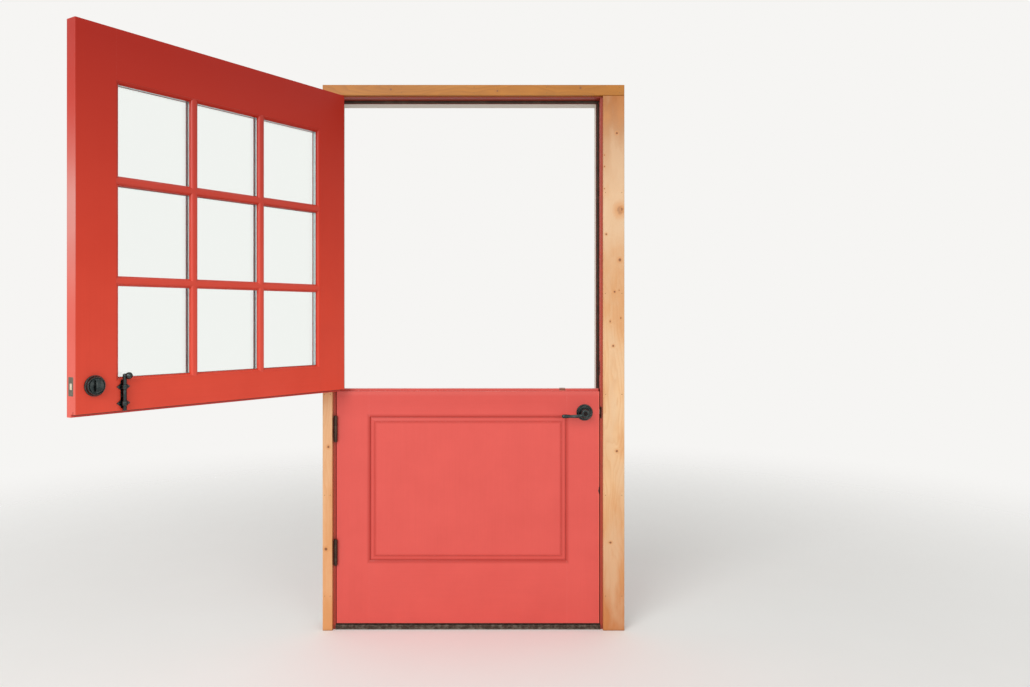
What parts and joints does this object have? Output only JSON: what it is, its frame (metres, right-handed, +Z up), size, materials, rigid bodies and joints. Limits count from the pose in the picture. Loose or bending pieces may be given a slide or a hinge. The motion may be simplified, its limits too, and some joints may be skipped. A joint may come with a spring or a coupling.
{
  "type": "dutch stable door",
  "caption": "Outward-opening stable door in its timber frame: a panelled lower leaf, shut, and a glazed upper leaf, standing open, each hung on butt hinges.",
  "frame": {"origin": "on the foot of the sill, half-way between the jambs, in the plane of the wall's outer face", "axes": "+X to the right seen from outside, +Y into the house, +Z up"},
  "size_m": [1.7755, 1.0254, 2.203],
  "materials": {
    "red_timber": "satin red paint, brushed",
    "red_jamb": "satin red paint",
    "clear_timber": "clear-finished softwood",
    "dark_bronze": "oil-rubbed dark bronze",
    "steel_bolt": "satin steel",
    "sill_metal": "dark bronze anodised",
    "seal_rubber": "matt brown foam skin",
    "clear_glass": "clear float glass",
    "spacer_metal": "mill finish"
  },
  "bodies": {
    "frame": {"sill": "sill_metal", "sill_seal": "seal_rubber", "hinge_jamb": "red_jamb", "latch_jamb": "red_jamb", "head_jamb": "red_jamb", "latch_strike": "dark_bronze", "deadbolt_strike": "dark_bronze", "hinge_casing": "clear_timber", "latch_casing": "clear_timber", "head_casing": "clear_timber", "hinge_weatherstrip": "seal_rubber", "latch_weatherstrip": "seal_rubber", "head_weatherstrip": "seal_rubber", "upper_top_hinge_frame_leaf": "dark_bronze", "upper_bottom_hinge_frame_leaf": "dark_bronze", "lower_top_hinge_frame_leaf": "dark_bronze", "lower_bottom_hinge_frame_leaf": "dark_bronze", "hinge_pins": "dark_bronze"},
    "upper_leaf": {"upper_hinge_stile": "red_timber", "upper_lock_stile": "red_timber", "upper_top_rail": "red_timber", "upper_meeting_rail": "red_timber", "hinge_glazing_bead": "red_timber", "lock_glazing_bead": "red_timber", "bottom_glazing_bead": "red_timber", "top_glazing_bead": "red_timber", "outer_glazing_bars": "red_timber", "inner_glazing_bars": "red_timber", "outer_pane": "clear_glass", "inner_pane": "clear_glass", "glass_spacer": "spacer_metal", "meeting_seal": "seal_rubber", "deadbolt_case": "dark_bronze", "deadbolt_rose": "dark_bronze", "deadbolt_collar": "dark_bronze", "deadbolt_cylinder": "steel_bolt", "slide_bolt_plate": "dark_bronze", "upper_top_hinge_door_leaf": "dark_bronze", "upper_bottom_hinge_door_leaf": "dark_bronze"},
    "lower_leaf": {"lower_hinge_stile": "red_timber", "lower_latch_stile": "red_timber", "lower_top_rail": "red_timber", "lower_bottom_rail": "red_timber", "raised_panel": "red_timber", "latch_case": "dark_bronze", "outside_rose": "dark_bronze", "inside_rose": "dark_bronze", "bolt_keeper": "dark_bronze", "lower_top_hinge_door_leaf": "dark_bronze", "lower_bottom_hinge_door_leaf": "dark_bronze"},
    "thumb_turn": {"thumb_turn": "dark_bronze"},
    "deadbolt": {"deadbolt": "steel_bolt"},
    "slide_bolt": {"slide_bolt_rod": "dark_bronze"},
    "outside_lever": {"outside_lever": "dark_bronze", "key_cylinder": "steel_bolt"},
    "inside_lever": {"inside_lever": "dark_bronze"},
    "latch_bolt": {"latch_bolt": "steel_bolt"},
    "turn_button": {"turn_button": "dark_bronze"}
  },
  "joints": [
    {"name": "upper_leaf_swing", "type": "hinge", "parent": "frame", "child": "upper_leaf", "pos_m": [-0.535, -0.008, 1.55], "axis": [0, 0, -1], "range_deg": [-125.15, 34.85]},
    {"name": "lower_leaf_swing", "type": "hinge", "parent": "frame", "child": "lower_leaf", "pos_m": [-0.535, -0.008, 0.55], "axis": [0, 0, -1], "range_deg": [0, 125.15]},
    {"name": "thumb_turn_spin", "type": "hinge", "parent": "upper_leaf", "child": "thumb_turn", "pos_m": [-1.07246, -0.8625, 1.059], "axis": [0.8176, -0.5757, 0], "range_deg": [0, 90]},
    {"name": "deadbolt_slide", "type": "slide", "parent": "upper_leaf", "child": "deadbolt", "axis": [-0.5757, -0.8176, 0], "range_m": [0, 0.0254]},
    {"name": "slide_bolt_drop", "type": "slide", "parent": "upper_leaf", "child": "slide_bolt", "axis": [0, 0, -1], "range_m": [0, 0.016]},
    {"name": "outside_lever_turn", "type": "hinge", "parent": "lower_leaf", "child": "outside_lever", "pos_m": [0.4731, 0, 0.879], "axis": [0, -1, 0], "range_deg": [0, 45], "stiffness_Nm_per_rad": 0.8, "springref_deg": -28.65},
    {"name": "inside_lever_turn", "type": "hinge", "parent": "lower_leaf", "child": "inside_lever", "pos_m": [0.4731, 0.0445, 0.879], "axis": [0, -1, 0], "range_deg": [0, 45], "stiffness_Nm_per_rad": 0.8, "springref_deg": -28.65},
    {"name": "latch_bolt_slide", "type": "slide", "parent": "lower_leaf", "child": "latch_bolt", "axis": [-1, 0, 0], "range_m": [0, 0.0127]},
    {"name": "turn_button_spin", "type": "hinge", "parent": "inside_lever", "child": "turn_button", "pos_m": [0.4731, 0.098, 0.879], "axis": [0, 1, 0], "range_deg": [0, 90]}
  ],
  "couplings": [
    {"joint": "inside_lever_turn", "follows": "outside_lever_turn", "ratio": 1},
    {"joint": "latch_bolt_slide", "follows": "outside_lever_turn", "m_per_rad": 0.01617},
    {"joint": "thumb_turn_spin", "follows": "deadbolt_slide", "rad_per_m": 61.84}
  ]
}
